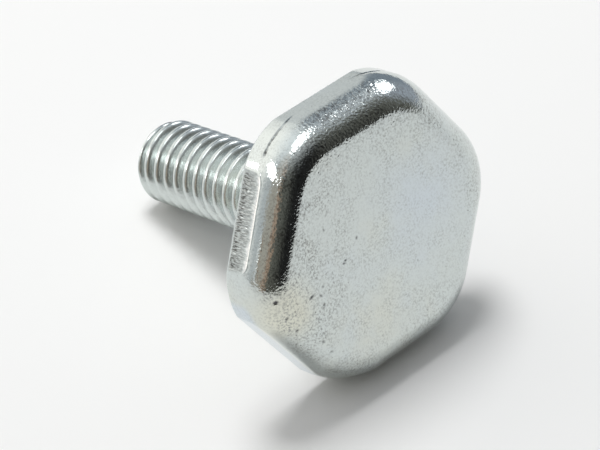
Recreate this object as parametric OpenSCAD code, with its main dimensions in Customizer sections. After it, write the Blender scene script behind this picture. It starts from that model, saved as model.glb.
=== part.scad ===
// Leveling screw: a wide, low hexagon head with a flat foot face, headed in one piece with a threaded shank.
// It lies as it comes to rest, on the lower flat of the head and the end of the shank.

/* [Head] */
// Width across the trimmed flats
head_af = 25.4; // [16:0.1:50]
// Height of the head, from its under side to the foot face
head_h = 4.95; // [3:0.05:12]
// Radius rolled from the side of the head over to the foot face
rim_r = 3.3; // [0.5:0.1:8]
// Depth to which the foot face is pressed flat below the crown of the rim
foot_press = 0.03; // [0.01:0.01:0.1]
// Radius of the six corners, seen along the screw
corner_r = 7.3; // [2:0.1:12]
// Metal sheared off each flat by the trimming die
trim_depth = 0.15; // [0.05:0.05:0.5]
// Edge broken round the under side of the head
edge_break = 0.25; // [0.1:0.05:0.8]

/* [Shank] */
// Major diameter of the thread
thread_d = 7.9; // [4:0.1:16]
// Length of the shank, from under the head to its end
shank_l = 25.4; // [12:0.2:80]
// Length of the tapered end that starts the thread
tip_l = 1; // [0.4:0.1:3]
// Depth that the tapered end falls below the major diameter
tip_depth = 0.9; // [0.3:0.1:1.8]
// Fillet where the shank grows out of the head
neck_r = 0.6; // [0.2:0.1:2]

/* [Hidden] */
$fn = 96;
// Overlap that joins each side of the blank to the corners beside it, far below what can be made or measured
join_lap = 0.00000001;
zinc_colour = [0.78, 0.80, 0.81];

// Half width of the trimmed head, and the blank before its foot is pressed and its flats are trimmed
flat_r = head_af / 2;
blank_r = flat_r + trim_depth;
blank_h = head_h + foot_press;
// Radii held to what the walls have room for
rim = min(rim_r, head_h - 2 * edge_break);
corner = min(max(corner_r, rim + edge_break), 0.9 * blank_r);
// Corner centres and straight run of each side
corner_at = (blank_r - corner) / cos(30);
side_l = 2 * (blank_r - corner) * tan(30);
// Full-width run of the shank, its flat end and the fillet at its root
body_l = shank_l - tip_l;
end_d = thread_d - 2 * tip_depth;
neck = min(neck_r, (flat_r - thread_d / 2) / 3);

// Lean of the screw, from the head's under edge to the start of the tapered end
lean = atan((flat_r - thread_d / 2) / (body_l + edge_break));
// Reach along the floor, from which the middle is found
reach_head = (blank_h - rim) * cos(lean) + (blank_r - rim) * sin(lean) + rim;
reach_body = body_l * cos(lean) + thread_d / 2 * sin(lean);
reach_end = shank_l * cos(lean) + end_d / 2 * sin(lean);
reach_tip = max(reach_body, reach_end);
mid_x = (reach_head - reach_tip) / 2;
lift_z = flat_r * cos(lean) - edge_break * sin(lean);

// Section of the rim, from a corner's centre to the blank's edge, with metal left below for the die to trim
module rim_section() {
    foot = -edge_break;
    polygon([[0, foot], [corner - 2 * edge_break, foot], [corner, edge_break], [corner, blank_h - rim],
        [corner - rim, blank_h - rim], [corner - rim, blank_h], [0, blank_h]]);
    translate([corner - rim, blank_h - rim]) intersection() {
        circle(r = rim);
        square(2 * rim);
    }
}

// The blank: the same section carried along six sides and round six corners, on a core that reaches into them
module blank_head() {
    core_r = (blank_r - (corner + rim) / 2) / cos(30);
    translate([0, 0, -edge_break]) cylinder(r = core_r, h = blank_h + edge_break, $fn = 6);
    for (i = [0 : 5]) {
        rotate(60 * i) translate([corner_at, 0, 0]) rotate(-30) rotate_extrude(angle = 60) rim_section();
        rotate(60 * i + 30) translate([blank_r - corner, side_l / 2 + join_lap, 0]) rotate([90, 0, 0])
            linear_extrude(height = side_l + 2 * join_lap) rim_section();
    }
}

// Section of the die between two opposite flats, as tall as the head, with the under edge broken
module die_section() {
    base = flat_r - edge_break;
    polygon([[-base, 0], [base, 0], [flat_r, edge_break], [flat_r, head_h],
        [-flat_r, head_h], [-flat_r, edge_break]]);
}

// The die's opening: three pairs of flats
module trim_die() {
    intersection_for (i = [0 : 2]) rotate(60 * i + 30) rotate([90, 0, 0])
        linear_extrude(height = 3 * head_af, center = true) die_section();
}

// The shank at the thread's major diameter, with its tapered end and the fillet under the head
module shank() {
    bite = head_h / 3;
    translate([0, 0, -body_l]) cylinder(d = thread_d, h = body_l + bite);
    translate([0, 0, -shank_l]) cylinder(d1 = end_d, d2 = thread_d, h = tip_l);
    rotate_extrude() translate([thread_d / 2, -neck]) difference() {
        translate([-neck, 0]) square([2 * neck, neck + bite / 2]);
        translate([neck, 0]) circle(r = neck);
    }
}

module leveling_screw() {
    color(zinc_colour) translate([-mid_x, 0, lift_z]) rotate([0, 90 - lean, 0]) union() {
        rotate(30) intersection() {
            blank_head();
            trim_die();
        }
        shank();
    }
}

leveling_screw();
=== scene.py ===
import math
import bmesh
import bpy
import numpy as np
from mathutils import Matrix, Vector


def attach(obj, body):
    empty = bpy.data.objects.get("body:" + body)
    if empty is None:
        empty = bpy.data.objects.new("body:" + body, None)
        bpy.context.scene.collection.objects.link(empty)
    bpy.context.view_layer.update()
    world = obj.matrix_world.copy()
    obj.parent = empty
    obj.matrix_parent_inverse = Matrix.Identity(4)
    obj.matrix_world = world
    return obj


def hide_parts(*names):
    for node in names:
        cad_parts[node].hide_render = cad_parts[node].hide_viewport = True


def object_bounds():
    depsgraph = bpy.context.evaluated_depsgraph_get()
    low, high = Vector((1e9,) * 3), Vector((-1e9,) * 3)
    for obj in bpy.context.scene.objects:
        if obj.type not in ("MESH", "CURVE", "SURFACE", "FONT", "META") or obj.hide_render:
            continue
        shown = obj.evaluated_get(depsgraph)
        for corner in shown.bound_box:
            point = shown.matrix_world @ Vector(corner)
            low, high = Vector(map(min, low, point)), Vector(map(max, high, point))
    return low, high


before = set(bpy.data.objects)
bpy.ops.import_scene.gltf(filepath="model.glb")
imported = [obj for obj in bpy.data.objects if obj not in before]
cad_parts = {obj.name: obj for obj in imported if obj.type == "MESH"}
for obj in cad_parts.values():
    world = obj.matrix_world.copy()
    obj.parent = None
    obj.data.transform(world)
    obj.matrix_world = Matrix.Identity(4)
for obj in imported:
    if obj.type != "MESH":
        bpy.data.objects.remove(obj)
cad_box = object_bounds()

# Threaded shank: the stem of a steel blank, with a coarse right-hand thread rolled into it by flat dies.
# The end is tapered to start in a tapped hole, and the thread dies out just under the head.
SHANK_R = 0.00395
SHANK_L = 0.0254
NECK_R = 0.0006
PITCH = 0.001411
THREAD_DEPTH = 0.00082
TAPER_L = 0.001
TAPER_DEPTH = 0.0009
STEM_SIDES = 120
ROWS_PER_TURN = 12
zinc = bpy.data.materials.new("zinc_plate")

thread_tree = bpy.data.node_groups.new("rolled_thread", "GeometryNodeTree")
thread_sizes = (("Major radius", SHANK_R), ("Threaded length", SHANK_L - NECK_R), ("Shank length", SHANK_L),
                ("Pitch", PITCH), ("Thread depth", THREAD_DEPTH), ("Taper length", TAPER_L),
                ("Taper depth", TAPER_DEPTH))
thread_counts = (("Sides", STEM_SIDES), ("Rows per turn", ROWS_PER_TURN))
thread_in = {}
for name, value in thread_sizes:
    thread_in[name] = thread_tree.interface.new_socket(name, in_out="INPUT", socket_type="NodeSocketFloat")
for name, value in thread_counts:
    thread_in[name] = thread_tree.interface.new_socket(name, in_out="INPUT", socket_type="NodeSocketInt")
thread_tree.interface.new_socket("Geometry", in_out="OUTPUT", socket_type="NodeSocketGeometry")
given = thread_tree.nodes.new("NodeGroupInput")
made = thread_tree.nodes.new("NodeGroupOutput")


def thread_wire(v, socket):
    """Link a socket to another, or set its value."""
    if isinstance(v, bpy.types.NodeSocket):
        thread_tree.links.new(v, socket)
    elif v is not None:
        socket.default_value = v


def thread_math(op, a, b=None):
    n = thread_tree.nodes.new("ShaderNodeMath")
    n.operation = op
    thread_wire(a, n.inputs[0])
    thread_wire(b, n.inputs[1])
    return n.outputs[0]


def thread_range(value, lo, hi, out_lo, out_hi, smooth=False):
    n = thread_tree.nodes.new("ShaderNodeMapRange")
    n.interpolation_type = "SMOOTHSTEP" if smooth else "LINEAR"
    for socket, v in zip(n.inputs[:5], (value, lo, hi, out_lo, out_hi)):
        thread_wire(v, socket)
    return n.outputs[0]


radius, threaded, shank, pitch, depth, taper_l, taper_d = (
    given.outputs[name] for name, value in thread_sizes)
# a sheet whose rows follow the helix is rolled up, and its edges are welded into a tube
turns = thread_math("ADD", thread_math("CEIL", thread_math("DIVIDE", threaded, pitch)), 1.0)
sheet = thread_tree.nodes.new("GeometryNodeMeshGrid")
sheet.inputs["Size X"].default_value = 1.0
sheet.inputs["Size Y"].default_value = 1.0
thread_tree.links.new(thread_math("ADD", given.outputs["Sides"], 1.0), sheet.inputs["Vertices X"])
sheet_rows = thread_math("ADD", thread_math("MULTIPLY", turns, given.outputs["Rows per turn"]), 1.0)
thread_tree.links.new(sheet_rows, sheet.inputs["Vertices Y"])
spot = thread_tree.nodes.new("GeometryNodeInputPosition")
split = thread_tree.nodes.new("ShaderNodeSeparateXYZ")
thread_tree.links.new(spot.outputs[0], split.inputs[0])
around = thread_math("ADD", split.outputs[0], 0.5)
climb = thread_math("MULTIPLY", thread_math("ADD", split.outputs[1], 0.5), turns)
climb = thread_math("SUBTRACT", climb, 1.0)
run = thread_math("MULTIPLY", thread_math("ADD", climb, around), pitch)
run = thread_math("MINIMUM", thread_math("MAXIMUM", run, 0.0), threaded)
phase = thread_math("SUBTRACT", thread_math("DIVIDE", run, pitch), around)
phase = thread_math("FRACT", thread_math("ADD", phase, 4.0))
wave = thread_math("ABSOLUTE", thread_math("SUBTRACT", thread_math("MULTIPLY", phase, 2.0), 1.0))
# straight flanks with a rounded crest and root
FLANK_SHARE = 0.62
crest = thread_math("MULTIPLY", thread_range(wave, 0.1, 0.7, 0.0, 1.0), FLANK_SHARE)
rounding = thread_math("MULTIPLY", thread_range(wave, 0.0, 1.0, 0.0, 1.0, True), 1.0 - FLANK_SHARE)
crest = thread_math("ADD", crest, rounding)
# the thread fades out over the last turns under the head
fade_from = thread_math("SUBTRACT", threaded, thread_math("MULTIPLY", pitch, 1.6))
fade_to = thread_math("SUBTRACT", threaded, thread_math("MULTIPLY", pitch, 0.3))
fade = thread_range(run, fade_from, fade_to, 1.0, 0.0, True)
cut = thread_math("MULTIPLY", thread_math("MULTIPLY", depth, thread_math("SUBTRACT", 1.0, crest)), fade)
cone = thread_math("MULTIPLY", taper_d, thread_math("DIVIDE", run, taper_l))
cone = thread_math("ADD", thread_math("SUBTRACT", radius, taper_d), cone)
reach = thread_math("MINIMUM", thread_math("SUBTRACT", radius, cut), cone)
angle = thread_math("MULTIPLY", around, 2 * math.pi)
put = thread_tree.nodes.new("ShaderNodeCombineXYZ")
thread_tree.links.new(thread_math("MULTIPLY", reach, thread_math("COSINE", angle)), put.inputs[0])
thread_tree.links.new(thread_math("MULTIPLY", reach, thread_math("SINE", angle)), put.inputs[1])
thread_tree.links.new(thread_math("SUBTRACT", run, shank), put.inputs[2])
roll = thread_tree.nodes.new("GeometryNodeSetPosition")
thread_tree.links.new(sheet.outputs["Mesh"], roll.inputs["Geometry"])
thread_tree.links.new(put.outputs[0], roll.inputs["Position"])
weld = thread_tree.nodes.new("GeometryNodeMergeByDistance")
weld.inputs["Distance"].default_value = 2e-6
thread_tree.links.new(roll.outputs[0], weld.inputs["Geometry"])
realize = thread_tree.nodes.new("GeometryNodeRealizeInstances")
thread_tree.links.new(weld.outputs[0], realize.inputs[0])
coat = thread_tree.nodes.new("GeometryNodeSetMaterial")
coat.inputs["Material"].default_value = zinc
thread_tree.links.new(realize.outputs[0], coat.inputs["Geometry"])
thread_tree.links.new(coat.outputs[0], made.inputs[0])

stem = bpy.data.objects.new("stem_blank", bpy.data.meshes.new("stem_blank"))
bpy.context.collection.objects.link(stem)
rolling = stem.modifiers.new("rolled_thread", "NODES")
rolling.node_group = thread_tree
for name, value in thread_sizes + thread_counts:
    rolling[thread_in[name].identifier] = value
stem_mesh = bpy.data.meshes.new_from_object(stem.evaluated_get(bpy.context.evaluated_depsgraph_get()))
stem.modifiers.remove(rolling)
bpy.data.objects.remove(stem)

# Head: upset in one blow from the same steel, with a flat foot face and one big radius rolled over its rim.
# A die then trims the six flats a little off centre. It tears one of them, and leaves a ledge at the parting
# line, where a dark line is painted. The lower corner is rounder than the rest. Sizes are in mm, with s up
# from the under side.
AF = 25.4
HEAD_H = 4.95
RIM_R = 3.3
CORNER_R = 7.3
TRIM = 0.15
PRESS = 0.03
EDGE = 0.25
OFF_CENTRE = (-0.09, -0.03)
TORN_FLAT = 150.0
TORN_BACK = 0.09
SOFT_CORNER = 240.0
SOFT_BACK = 0.22
CORNER_COLS = 50
SIDE_COLS = (36, 36, 150, 36, 36, 36)
flat_r, blank_r, blank_h = AF / 2, AF / 2 + TRIM, HEAD_H + PRESS
wall_top = blank_h - RIM_R
corner_at = (blank_r - CORNER_R) / math.cos(math.pi / 6)


def toward(a):
    """Unit vector across the head, at an angle in radians."""
    return np.array([math.cos(a), math.sin(a)])


def ramp(x, lo, hi):
    """Smooth step from 0 to 1 between two values."""
    f = np.clip((x - lo) / (hi - lo), 0.0, 1.0)
    return f * f * (3 - 2 * f)


# the blank's outline: a centre of curvature and a heading for each column of the mesh
centres, headings = [], []
for k in range(6):
    a = math.pi / 3 * k
    here = corner_at * toward(a)
    after = corner_at * toward(a + math.pi / 3)
    for i in range(CORNER_COLS):
        centres.append(here)
        headings.append(a - math.pi / 6 + math.pi / 3 * i / CORNER_COLS)
    for i in range(SIDE_COLS[k]):
        centres.append(here + (after - here) * i / SIDE_COLS[k])
        headings.append(a + math.pi / 6)
centres = np.roll(np.array(centres), -CORNER_COLS // 2, 0) + np.array(OFF_CENTRE)
headings = np.roll(np.array(headings), -CORNER_COLS // 2)
outward = np.c_[np.cos(headings), np.sin(headings)]
torn_n, torn_t = toward(math.radians(TORN_FLAT)), toward(math.radians(TORN_FLAT + 90))
centres -= TORN_BACK * np.clip(2 * (outward @ torn_n) - 1, 0, 1)[:, None] * torn_n
soft_n = toward(math.radians(SOFT_CORNER))
centres -= SOFT_BACK * ramp(outward @ soft_n, math.cos(math.pi / 6), 1)[:, None] * soft_n
cols = len(headings)
flat_n = [toward(math.pi / 6 + math.pi / 3 * k) for k in range(6)]
wall = centres + outward * CORNER_R
compass = np.degrees(np.arctan2(wall[:, 1], wall[:, 0])) % 360
girth = np.r_[0.0, np.cumsum(np.linalg.norm(np.diff(wall, axis=0), axis=1))]


def trimmed(p):
    """Points brought back to the six trimming planes, with a slightly worn edge."""
    for n in flat_n:
        over = p @ n - flat_r
        p = p - (0.5 * (over + np.sqrt(over * over + 0.0004)))[:, None] * n
    return p


def blank_at(height):
    """The untrimmed blank's outline at a height on the wall or the rolled rim."""
    up = np.clip((height - wall_top) / RIM_R, 0.0, 1.0)
    return centres + outward * (CORNER_R - RIM_R + RIM_R * np.sqrt(1.0 - up ** 2))[:, None]


def wander(x, step, seed):
    """Smooth noise along a line, between -1 and 1."""
    knots = np.random.RandomState(seed).uniform(-1, 1, 1024)
    i = np.floor(x / step).astype(int)
    f = x / step - i
    f = f * f * (3 - 2 * f)
    return knots[i % 1024] * (1 - f) + knots[(i + 1) % 1024] * f


# where each trimming plane runs out into the rolled rim
FACES_PLANE = 0.85
limit = np.full(cols, CORNER_R)
for n in flat_n:
    facing = outward @ n
    plane_at = (flat_r - centres @ n) / np.maximum(facing, FACES_PLANE)
    limit = np.where(facing > FACES_PLANE, np.minimum(limit, plane_at), limit)
crease = wall_top + RIM_R * np.sqrt(1.0 - np.clip((limit - CORNER_R + RIM_R) / RIM_R, 0.0, 1.0) ** 2)
# the parting line's height round the head, by compass angle, and how deep it is and how dark it is painted
PARTING = ((0, 1.8), (30, 2.2), (57, 1.6), (69, 1.5), (75, 1.05), (90, 0.8), (100, 1.05), (106, 1.38),
           (110, 1.58), (118, 1.74), (125, 1.84), (130, 2.25), (135, 2.66), (144, 2.6), (152, 2.5), (160, 2.4),
           (163, 2.3), (170, 1.95), (180, 1.8), (210, 2.6), (240, 1.8), (270, 2.4), (300, 1.8), (330, 2.4),
           (360, 1.8))
STEP = ((0, 0.0), (58, 0.0), (66, 0.05), (71, 0.04), (76, 0.0), (103, 0.0), (108, 0.03), (112, 0.06),
        (123, 0.07), (126, 0.0), (360, 0.0))
PARTING_DARK = ((0, 0.0), (62, 0.0), (66, 0.8), (71, 0.8), (75, 0.0), (98, 0.0), (104, 0.25), (109, 0.7),
        (124, 0.95), (126.5, 0.0), (360, 0.0))
parting = np.interp(compass, *zip(*PARTING)) + 0.03 * wander(girth, 0.7, 3) + 0.02 * wander(girth, 0.22, 5)
notch = np.interp(compass, *zip(*STEP)) * (1 + 0.35 * wander(girth, 0.3, 7))
parting_dark = np.interp(compass, *zip(*PARTING_DARK)) * np.clip(0.75 + 0.6 * wander(girth, 0.45, 9), 0, 1)
torn_at = wall @ torn_t
torn = ramp(4.5 - np.abs(torn_at), 0.0, 0.6) * (wall @ torn_n > 0.9 * flat_r)
parting += torn * (crease + 0.02 * wander(girth, 0.3, 5) - parting)

base = trimmed(wall)
rows, marks_on = [], []


def add_row(p, s, shear=0.0, ledge_dark=0.0, strip=0.0):
    """One more ring of the head, at a height, with the marks that the plating shows there, and how dark the
    ledge is painted.
    """
    rows.append(np.c_[p, np.broadcast_to(s, (cols,))])
    marks_on.append([np.broadcast_to(k, (cols,)) for k in (shear, ledge_dark, strip)])


# the under side, from a seat round the neck out to the broken edge
SEAT_R = 6.4
seat = SEAT_R * np.c_[np.cos(np.radians(compass)), np.sin(np.radians(compass))]
for q in (0.0, 0.35, 0.7):
    add_row(seat + (base - outward * EDGE - seat) * q, 0.0)
for q in np.linspace(0, math.pi / 2, 5):
    add_row(base - outward * (EDGE * (1 - math.sin(q))), EDGE * (1 - math.cos(q)))
# the torn flat: fine strokes along the axis behind a burnished strip
GOUGE = 0.03
for q in np.linspace(0, 1, 14)[1:]:
    s = EDGE + (parting - EDGE) * q
    slant = torn_at + 0.08 * s + 50
    place = torn_at + 50
    stroke = 0.6 * wander(slant, 0.1, 11) + 0.4 * wander(slant, 0.31, 12)
    stroke += 0.25 * wander(slant + 0.9 * s, 0.5, 13)
    burnish = 2.18 + 0.12 * wander(place, 0.45, 21) + 0.15 * wander(place, 0.12, 22)
    zone = ramp(s, 0.26, 0.36) * ramp(burnish - s, 0.0, 0.25) * (1 - 0.4 * ramp(s, 0.85, 1.3)) * torn
    gouge = zone * np.clip(0.45 + stroke, 0, 1)
    on_flat = (s < wall_top) | ((np.abs(torn_at) < 4.6) & (torn > 0))
    p = np.where(on_flat[:, None], base, trimmed(blank_at(s))) - outward * (GOUGE * gouge)[:, None]
    # the top row is painted dark where it meets the parting line
    add_row(p, s, zone, 0.7 * parting_dark * (q > 0.99), torn * ramp(s - burnish, -0.05, 0.15))
# the ledge at the parting line, painted dark along it
lip = parting + 0.03
add_row(trimmed(blank_at(lip)) - outward * notch[:, None], lip, 0.0, np.maximum(parting_dark, 0.45 * torn))
lip = parting + 0.16 + 0.06 * wander(girth, 0.25, 33)
add_row(trimmed(blank_at(lip)) - outward * (0.7 * notch)[:, None], lip, 0.0, parting_dark)
lip = lip + 0.1
# the rolled rim, and then the foot face in to its middle
RIM_ROWS = 30
FACE_ROWS = 46
top_q = math.asin((HEAD_H - wall_top) / RIM_R)
start_q = np.arcsin(np.clip((np.maximum(lip, crease) - wall_top) / RIM_R, 0, 1))
straight = np.maximum(np.maximum(crease, wall_top) - lip, 0.0)
length = straight + RIM_R * (top_q - start_q)
for q in np.linspace(0, 1, RIM_ROWS):
    gone = length * q
    rolled = wall_top + RIM_R * np.sin(start_q + np.maximum(gone - straight, 0.0) / RIM_R)
    s = np.where(gone < straight, lip + gone, rolled)
    add_row(trimmed(blank_at(s)), s)
brim = rows[-1][:, :2]
for q in np.linspace(0, 1, FACE_ROWS + 1)[1:-1]:
    add_row(brim * (1 - q), HEAD_H)
points = np.vstack(rows)
shear_v, ledge_dark_v, strip_v = (np.concatenate([m[k] for m in marks_on]) for k in range(3))

# knocks and scratches: place on the foot (u, v), length, width, direction, depth
KNOCKS = ((-4.6, -0.15, 0.5, 0.12, 0.75, 0.8), (-2.75, 1.2, 0.3, 0.14, 1.2, 0.7),
          (-8.8, -1.3, 0.45, 0.2, 0.3, 0.7), (-7.85, -1.65, 0.4, 0.15, 1.9, 0.6),
          (-7.85, -2.75, 0.35, 0.18, 1.0, 0.6), (-7.4, -1.0, 0.3, 0.15, 1.4, 0.5),
          (-12.18, -0.06, 0.3, 0.22, 0.3, 1.0), (-8.8, -5.85, 0.35, 0.2, 2.2, 0.5),
          (-8.2, -7.25, 0.3, 0.2, 0.4, 0.5), (2.95, -4.25, 0.2, 0.12, 0.5, 0.4),
          (-8.45, 3.2, 0.22, 0.15, 0.9, 0.4), (-11.6, -1.96, 0.3, 0.2, 1.0, 0.6),
          (-10.9, -3.6, 0.35, 0.2, 1.2, 0.6))
KNOCK_DEPTH = 0.05
pit_v = np.zeros(len(points))
upper = points[:, 2] > 4.3
for u, v, long, wide, way, deep in KNOCKS:
    d = points[:, :2] - np.array([u, v])
    x = d @ np.array([math.cos(way), math.sin(way)]) / long
    y = d @ np.array([-math.sin(way), math.cos(way)]) / wide
    knock = deep * np.exp(-2.2 * (x * x + y * y)) * upper
    points[:, 2] -= KNOCK_DEPTH * knock
    pit_v = np.maximum(pit_v, knock)
# how rippled and how grimy the plating is: most of all on the rim beside the top flat
u, v, s = points.T
off = np.hypot(u, v)
way_round = np.degrees(np.arctan2(v, u)) % 360
ripple_v = 0.2 + 0.2 * ramp(s, 2.4, 3.0) * ramp(off, 9.0, 10.5)
ripple_v += (0.65 * ramp(s, 2.5, 3.1) * ramp(4.75 - s, 0.0, 0.5)
             * ramp(way_round, 62, 74) * ramp(116 - way_round, 0, 12))
grime_v = 0.2 + 0.7 * ramp(-u, 2.0, 9.0) * ramp(v, -8.5, -4.5)
grime_v = grime_v + 0.2 * ramp(v, 3.0, 8.0) + 0.25 * ramp(off, 8.8, 11.0)
grime_v = np.clip(grime_v, 0, 1) * ramp(s, 3.0, 4.4)
grime_v += (1.7 * ramp(s, 2.5, 3.0) * ramp(4.1 - s, 0.0, 0.5)
            * ramp(way_round, 64, 76) * ramp(114 - way_round, 0, 10))
# the rolled rim is also rough along its inner edge and on two rubbed lines beside the torn flat
along = points[:, :2] @ torn_t
beside = ramp(points[:, :2] @ torn_n, 11.0, 11.6)
inner_edge = 0.15 + 0.45 * ramp(way_round, 50, 70) * ramp(135 - way_round, 0, 20)
low_rub = np.exp(-((s - 3.41) / 0.13) ** 2)
high_rub = np.exp(-((s - 4.0) / 0.16) ** 2)
ripple_v += inner_edge * ramp(s, 4.2, 4.7) * ramp(off, 8.6, 9.4)
ripple_v += 1.6 * beside * low_rub * ramp(along, 0.0, 1.2) * ramp(5.0 - along, 0.0, 0.8)
ripple_v += 1.2 * beside * high_rub * ramp(along, -4.9, -4.2) * ramp(-2.6 - along, 0.0, 0.6)
# where the clear coat has gone straw or blue
straw_v = np.exp(-((u + 11.4) / 2.2) ** 2 - ((v + 1.6) / 2.6) ** 2)
straw_v += 0.45 * np.exp(-((u + 3.0) / 4.0) ** 2 - ((v + 7.0) / 3.0) ** 2)
blue_v = 0.7 * np.exp(-((u - 5.0) / 4.0) ** 2 - ((v - 1.0) / 4.5) ** 2)
blue_v += 0.9 * ramp(2.9 - s, 0.0, 1.2) * ramp(-(0.866 * u + 0.5 * v), 11.8, 12.5)

# the two are one piece: the stem's top ring is sewn to a fillet, and that to the under side of the head
bm = bmesh.new()
bm.from_mesh(stem_mesh)
bpy.data.meshes.remove(stem_mesh)
plating = {"shear": shear_v, "ledge_dark": ledge_dark_v, "strip": strip_v, "lay": along, "rise": points[:, 2],
           "pit": pit_v, "ripple": ripple_v, "grime": grime_v, "straw": straw_v, "blue": blue_v}
on = {key: bm.verts.layers.float.new(key) for key in ("stem", *plating)}
for vert in bm.verts:
    vert.co *= 1000.0
    vert[on["stem"]] = 1.0
head = [bm.verts.new(p) for p in points]
for key, values in plating.items():
    layer = on[key]
    for vert, value in zip(head, values):
        vert[layer] = value
for r in range(len(rows) - 1):
    below = head[r * cols:(r + 1) * cols]
    above = head[(r + 1) * cols:(r + 2) * cols]
    for i in range(cols):
        j = (i + 1) % cols
        bm.faces.new((below[i], below[j], above[j], above[i]))
middle = bm.verts.new((0.0, 0.0, HEAD_H))
for i in range(cols):
    bm.faces.new((above[i], above[(i + 1) % cols], middle))


def stem_ring(r, s):
    """A ring of the stem, at a radius and a height."""
    ring = []
    for i in range(STEM_SIDES):
        a = 2 * math.pi * i / STEM_SIDES
        vert = bm.verts.new((r * math.cos(a), r * math.sin(a), s))
        vert[on["stem"]] = 1.0
        ring.append(vert)
    return ring


def sew(lower, upper):
    for i in range(STEM_SIDES):
        j = (i + 1) % STEM_SIDES
        bm.faces.new((lower[i], lower[j], upper[j], upper[i]))


stem_r, neck, stem_l = SHANK_R * 1000, NECK_R * 1000, SHANK_L * 1000
ring = stem_ring(stem_r, -neck)
for q in np.linspace(0, math.pi / 2, 6)[1:]:
    higher = stem_ring(stem_r + neck * (1 - math.cos(q)), -neck + neck * math.sin(q))
    sew(ring, higher)
    ring = higher
# the fillet's ring and the seat have different counts, so triangles step round both
seat_way = np.unwrap(np.radians(np.r_[compass, compass[0]]))
i = j = 0
while i < STEM_SIDES or j < cols:
    ring_next = 2 * math.pi * (i + 1) / STEM_SIDES
    if j >= cols or (i < STEM_SIDES and ring_next <= seat_way[j + 1] - seat_way[0]):
        bm.faces.new((ring[i], ring[(i + 1) % STEM_SIDES], head[j % cols]))
        i += 1
    else:
        bm.faces.new((ring[i % STEM_SIDES], head[(j + 1) % cols], head[j]))
        j += 1
# the flat end of the shank
end_r = stem_r - TAPER_DEPTH * 1000
ring = stem_ring(end_r, -stem_l)
for q in (0.9, 0.6, 0.3):
    lower = stem_ring(end_r * q, -stem_l)
    sew(lower, ring)
    ring = lower
tip = bm.verts.new((0.0, 0.0, -stem_l))
for i in range(STEM_SIDES):
    bm.faces.new((ring[(i + 1) % STEM_SIDES], ring[i], tip))
bmesh.ops.remove_doubles(bm, verts=bm.verts, dist=0.003)
bmesh.ops.dissolve_degenerate(bm, dist=0.001, edges=bm.edges)
bmesh.ops.recalc_face_normals(bm, faces=bm.faces)
for f in bm.faces:
    f.smooth = True
# laid down as it rests, on the lower flat and the start of the taper
lean = math.atan((flat_r - stem_r) / (stem_l - TAPER_L * 1000 + EDGE))
front_x = wall_top * math.cos(lean) + (blank_r - RIM_R) * math.sin(lean) + RIM_R
mid_x = float(cad_box[1][0]) * 1000 - front_x
lift_z = flat_r * math.cos(lean) - EDGE * math.sin(lean)
lay = Matrix(((0.0, -math.sin(lean), math.cos(lean), mid_x),
              (1.0, 0.0, 0.0, 0.0),
              (0.0, math.cos(lean), math.sin(lean), lift_z),
              (0, 0, 0, 1)))
bm.transform(Matrix.Scale(0.001, 4) @ lay)
screw_mesh = bpy.data.meshes.new("zinc_leveling_screw")
bm.to_mesh(screw_mesh)
bm.free()
screw_mesh.materials.clear()
screw_mesh.materials.append(zinc)
screw = bpy.data.objects.new("zinc_leveling_screw", screw_mesh)
bpy.context.collection.objects.link(screw)
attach(screw, "root")
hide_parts("leveling_screw")

# Zinc finish: bright electroplate with a clear passivate over the whole screw, finely rippled like orange
# peel. It is duller in the thread, grey and torn on the sheared flat and grimy toward one corner, with faint
# straw and blue patches.
BARE = (0.645, 0.692, 0.68, 1.0)
STRAW = (0.695, 0.702, 0.615, 1.0)
BLUE = (0.625, 0.685, 0.73, 1.0)
FRECKLE = (0.30, 0.31, 0.30, 1.0)
GRIME = (0.17, 0.17, 0.165, 1.0)
KNOCKED = (0.08, 0.08, 0.085, 1.0)
LEDGE_DARK_TONE = (0.07, 0.07, 0.065, 1.0)
TORN = (0.10, 0.10, 0.095, 1.0)
BURNISHED = (0.94, 0.945, 0.92, 1.0)
PEEL_HEIGHT = 0.00004
SWELL_HEIGHT = 0.00002
zinc.use_nodes = True
nt = zinc.node_tree
shine = nt.nodes["Principled BSDF"]
shine.inputs["Metallic"].default_value = 1.0
own = nt.nodes.new("ShaderNodeTexCoord")


def plate_wire(v, socket):
    if isinstance(v, bpy.types.NodeSocket):
        nt.links.new(v, socket)
    else:
        socket.default_value = v


def plate_noise(scale, detail, rough=0.55):
    n = nt.nodes.new("ShaderNodeTexNoise")
    n.inputs["Scale"].default_value = scale
    n.inputs["Detail"].default_value = detail
    n.inputs["Roughness"].default_value = rough
    nt.links.new(own.outputs["Object"], n.inputs["Vector"])
    return n.outputs["Fac"]


def plate_range(value, lo, hi, out_lo, out_hi):
    n = nt.nodes.new("ShaderNodeMapRange")
    for socket, v in zip(n.inputs[:5], (value, lo, hi, out_lo, out_hi)):
        plate_wire(v, socket)
    return n.outputs[0]


def plate_math(op, a, b):
    n = nt.nodes.new("ShaderNodeMath")
    n.operation = op
    plate_wire(a, n.inputs[0])
    plate_wire(b, n.inputs[1])
    return n.outputs[0]


def plate_mix(fac, a, b):
    n = nt.nodes.new("ShaderNodeMix")
    n.data_type = "RGBA"
    plate_wire(fac, n.inputs[0])
    plate_wire(a, n.inputs[6])
    plate_wire(b, n.inputs[7])
    return n.outputs[2]


def plate_mark(name):
    n = nt.nodes.new("ShaderNodeAttribute")
    n.attribute_name = name
    return n.outputs["Fac"]


def plate_bump(height, distance, under=None):
    n = nt.nodes.new("ShaderNodeBump")
    n.inputs["Strength"].default_value = 1.0
    n.inputs["Distance"].default_value = distance
    nt.links.new(height, n.inputs["Height"])
    if under is not None:
        nt.links.new(under, n.inputs["Normal"])
    return n.outputs[0]


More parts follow.
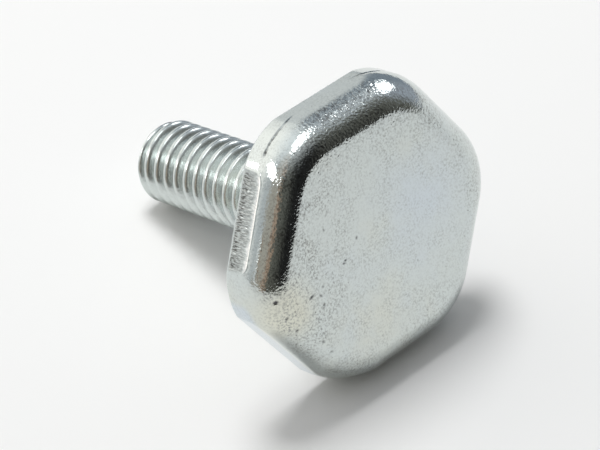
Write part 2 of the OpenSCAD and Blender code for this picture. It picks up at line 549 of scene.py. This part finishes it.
peel = plate_noise(4600.0, 1.5, 0.5)
swell = plate_noise(1300.0, 2.0, 0.5)
cloud = plate_noise(190.0, 3.0, 0.6)
fleck = plate_noise(3000.0, 3.0, 0.65)
grain = plate_noise(5000.0, 2.0, 0.55)
cluster = plate_noise(420.0, 2.0, 0.6)
stem_part, shear_part, grime_part = plate_mark("stem"), plate_mark("shear"), plate_mark("grime")
# tinted patches, then freckles, grime, knocks and the dark line painted along the parting line over them
straw = plate_range(plate_math("ADD", plate_mark("straw"), cloud), 0.55, 1.25, 0.0, 1.0)
blue = plate_math("SUBTRACT", plate_math("ADD", plate_mark("blue"), 1.0), cloud)
blue = plate_range(blue, 0.55, 1.25, 0.0, 1.0)
tone = plate_mix(blue, plate_mix(straw, BARE, STRAW), BLUE)
freckle = plate_range(grain, 0.56, 0.22, 0.0, 1.0)
freckle = plate_math("MULTIPLY", freckle, plate_range(grime_part, 0.0, 1.0, 0.33, 1.2))
freckle = plate_math("MULTIPLY", freckle, plate_range(cluster, 0.38, 0.62, 0.45, 1.35))
tone = plate_mix(freckle, tone, FRECKLE)
grimy = plate_math("ADD", fleck, plate_math("MULTIPLY", grime_part, 0.09))
tone = plate_mix(plate_range(grimy, 0.67, 0.80, 0.0, 0.75), tone, GRIME)
tone = plate_mix(plate_range(plate_mark("pit"), 0.1, 0.6, 0.0, 1.0), tone, KNOCKED)
# the ledge at the parting line is painted dark, broken up by the fleck noise
ledge_darkening = plate_math("MULTIPLY", plate_mark("ledge_dark"), plate_range(fleck, 0.34, 0.52, 0.25, 1.0))
tone = plate_mix(ledge_darkening, tone, LEDGE_DARK_TONE)
# torn strokes lie across the flat: fine along it and long up it
across = nt.nodes.new("ShaderNodeCombineXYZ")
nt.links.new(plate_mark("lay"), across.inputs[0])
nt.links.new(plate_math("MULTIPLY", plate_mark("rise"), 0.22), across.inputs[1])
stroke = plate_noise(8.5, 2.0, 0.6)
nt.links.new(across.outputs[0], stroke.node.inputs["Vector"])
torn_dark = plate_math("MULTIPLY", shear_part, plate_range(stroke, 0.60, 0.42, 0.2, 1.0))
tone = plate_mix(torn_dark, tone, TORN)
tone = plate_mix(plate_mark("strip"), tone, BURNISHED)
nt.links.new(tone, shine.inputs["Base Color"])
gloss = plate_range(plate_noise(700.0, 2.0), 0.3, 0.7, 0.05, 0.09)
gloss = plate_math("ADD", gloss, plate_math("MULTIPLY", stem_part, 0.15))
gloss = plate_math("ADD", gloss, plate_math("MULTIPLY", shear_part, 0.3))
nt.links.new(gloss, shine.inputs["Roughness"])
rippled = plate_math("MULTIPLY", peel, plate_mark("ripple"))
nt.links.new(plate_bump(rippled, PEEL_HEIGHT, plate_bump(swell, SWELL_HEIGHT)), shine.inputs["Normal"])

# Floor: one wide sheet of pale matt card that the screw lies on.
# It is cut as a disc, so wide that its edge is never near the screw.
FLOOR_R = 1.5
CARD = (0.88, 0.88, 0.875, 1.0)
bm = bmesh.new()
bmesh.ops.create_circle(bm, cap_ends=True, segments=64, radius=FLOOR_R)
floor_mesh = bpy.data.meshes.new("pale_floor")
bm.to_mesh(floor_mesh)
bm.free()
card = bpy.data.materials.new("pale_card")
card.use_nodes = True
matt = card.node_tree.nodes["Principled BSDF"]
matt.inputs["Base Color"].default_value = CARD
matt.inputs["Roughness"].default_value = 0.9
matt.inputs["Specular IOR Level"].default_value = 0.1
floor_mesh.materials.append(card)
floor = bpy.data.objects.new("pale_floor", floor_mesh)
bpy.context.collection.objects.link(floor)

# Light: one soft lamp high behind the shank lights the floor and throws the shadow, and four small lamps
# only glint in the metal. The room is bright behind the shank, warm and then dark in front of the foot face,
# cool on the far side and pale overhead.
LAMP_AIM = Vector((0.0, 0.0, 0.012))
# name, compass angle, height angle, distance, width, height, power
LAMPS = (("near_glint", -99.0, 44.5, 0.55, 0.36, 0.11, 0.42),
         ("top_glint", 30.0, 80.0, 0.6, 0.34, 0.18, 0.43),
         ("far_glint", 94.0, 36.5, 0.55, 0.3, 0.19, 0.45),
         ("side_glint", -147.5, 13.0, 0.6, 0.07, 0.07, 0.12),
         ("back_lamp", 160.0, 67.0, 0.6, 0.24, 0.24, 2.26))
for name, az, el, far, wide, high, watts in LAMPS:
    lamp = bpy.data.lights.new(name, "AREA")
    lamp.shape = "ELLIPSE"
    lamp.size = wide
    lamp.size_y = high
    lamp.energy = watts
    ob = bpy.data.objects.new(name, lamp)
    bpy.context.collection.objects.link(ob)
    ob.visible_glossy = name != "back_lamp"
    ob.visible_diffuse = name == "back_lamp"
    az, el = math.radians(az), math.radians(el)
    way = Vector((math.cos(az) * math.cos(el), math.sin(az) * math.cos(el), math.sin(el)))
    ob.location = way * far + LAMP_AIM
    ob.rotation_euler = way.to_track_quat("Z", "Y").to_euler()
world = bpy.data.worlds.new("soft_room")
world.use_nodes = True
bpy.context.scene.world = world
wt = world.node_tree
ray_way = wt.nodes.new("ShaderNodeTexCoord")
parts = wt.nodes.new("ShaderNodeSeparateXYZ")
wt.links.new(ray_way.outputs["Generated"], parts.inputs[0])


def room_math(op, a, b):
    n = wt.nodes.new("ShaderNodeMath")
    n.operation = op
    for socket, v in zip(n.inputs, (a, b)):
        if isinstance(v, bpy.types.NodeSocket):
            wt.links.new(v, socket)
        else:
            socket.default_value = v
    return n.outputs[0]


def room_range(value, lo, hi, out_lo, out_hi):
    n = wt.nodes.new("ShaderNodeMapRange")
    wt.links.new(value, n.inputs[0])
    for socket, v in zip(n.inputs[1:5], (lo, hi, out_lo, out_hi)):
        socket.default_value = v
    return n.outputs[0]


# the walls change with the compass, and the warm strip on one of them leans
bearing = room_math("ARCTAN2", parts.outputs[1], parts.outputs[0])
strip_from = room_range(bearing, math.radians(-20), math.radians(-45), 0.0, 0.24)
strip_to = room_range(bearing, math.radians(-105), math.radians(-85), 0.0, 1.0)
low_down = room_range(parts.outputs[2], 0.0, math.sin(math.radians(25)), 1.0, 0.0)
leaning = room_math("MULTIPLY", room_math("MULTIPLY", strip_from, strip_to), low_down)
walls_at = room_range(room_math("ADD", bearing, leaning), -math.pi, math.pi, 0.0, 1.0)
WINDOW, PALE, GREY = (1.3, 1.27, 1.22), (0.95, 0.95, 0.93), (0.57, 0.59, 0.6)
WARM, BROWN, SHADE = (0.45, 0.42, 0.37), (0.43, 0.3, 0.22), (0.16, 0.16, 0.14)
DARK, COOL, DEEP = (0.02, 0.02, 0.02), (0.4, 0.43, 0.48), (0.26, 0.3, 0.35)
WALLS = ((-180, WINDOW), (-132, WINDOW), (-118, PALE), (-98, GREY), (-87, GREY), (-76, WARM), (-58, WARM),
         (-46, BROWN), (-40, SHADE), (-8, DARK), (22, DARK), (52, SHADE), (72, COOL), (88, COOL), (110, DEEP),
         (130, DEEP), (157, PALE), (180, WINDOW))
walls = wt.nodes.new("ShaderNodeValToRGB")
while len(walls.color_ramp.elements) < len(WALLS):
    walls.color_ramp.elements.new(0.5)
for stop, (deg, colour) in zip(walls.color_ramp.elements, WALLS):
    stop.position = (deg + 180) / 360
    stop.color = (*colour, 1.0)
wt.links.new(walls_at, walls.inputs[0])
# they brighten slowly toward a pale ceiling
CEILING = (0.97, 1.0, 1.02, 1.0)
room = wt.nodes.new("ShaderNodeMix")
room.data_type = "RGBA"
upward = room_range(parts.outputs[2], 0.42, 1.0, 0.0, 1.0)
wt.links.new(room_math("POWER", upward, 3.2), room.inputs[0])
wt.links.new(walls.outputs[0], room.inputs[6])
room.inputs[7].default_value = CEILING
wt.links.new(room.outputs[2], wt.nodes["Background"].inputs["Color"])
# the metal shows the whole room, while the floor is lit less by it and keeps its shadow
FLOOR_SHARE = 0.77
seen = wt.nodes.new("ShaderNodeLightPath")
shown = room_math("MAXIMUM", seen.outputs["Is Camera Ray"], seen.outputs["Is Glossy Ray"])
wt.links.new(room_range(shown, 0.0, 1.0, FLOOR_SHARE, 1.0), wt.nodes["Background"].inputs["Strength"])
bpy.context.scene.view_settings.view_transform = "Standard"

# Camera: a long lens close above the table, looking down on the foot face and the torn side of the head.
# It is turned and raised round the middle of the foot face, then slid until that falls in its place
# in the frame.
FRAME_W, FRAME_H = 600, 450
FACE_PX = (383.19, 234.63)
FACE_CENTRE = Vector((0.0131044, 0.0, 0.0135406))
VIEW_TURN = math.radians(46.709)
VIEW_RISE = math.radians(43.612)
VIEW_REACH = 0.26564
FOCUS_PX = 3102.89
SENSOR_W = 36.0
view_back = Vector((math.sin(VIEW_TURN) * math.cos(VIEW_RISE),
                    -math.cos(VIEW_TURN) * math.cos(VIEW_RISE),
                    math.sin(VIEW_RISE)))
view_right = Vector((math.cos(VIEW_TURN), math.sin(VIEW_TURN), 0.0))
view_up = view_back.cross(view_right)
view_at = FACE_CENTRE + view_back * VIEW_REACH
view_at -= view_right * ((FACE_PX[0] - FRAME_W / 2) / FOCUS_PX * VIEW_REACH)
view_at += view_up * ((FACE_PX[1] - FRAME_H / 2) / FOCUS_PX * VIEW_REACH)
lens = bpy.data.cameras.new("table_camera")
lens.sensor_width = SENSOR_W
lens.lens = FOCUS_PX / FRAME_W * SENSOR_W
lens.clip_start = 0.01
camera = bpy.data.objects.new("table_camera", lens)
bpy.context.collection.objects.link(camera)
view_axes = Matrix((view_right, view_up, view_back)).transposed().to_4x4()
camera.matrix_world = Matrix.Translation(view_at) @ view_axes
bpy.context.scene.camera = camera
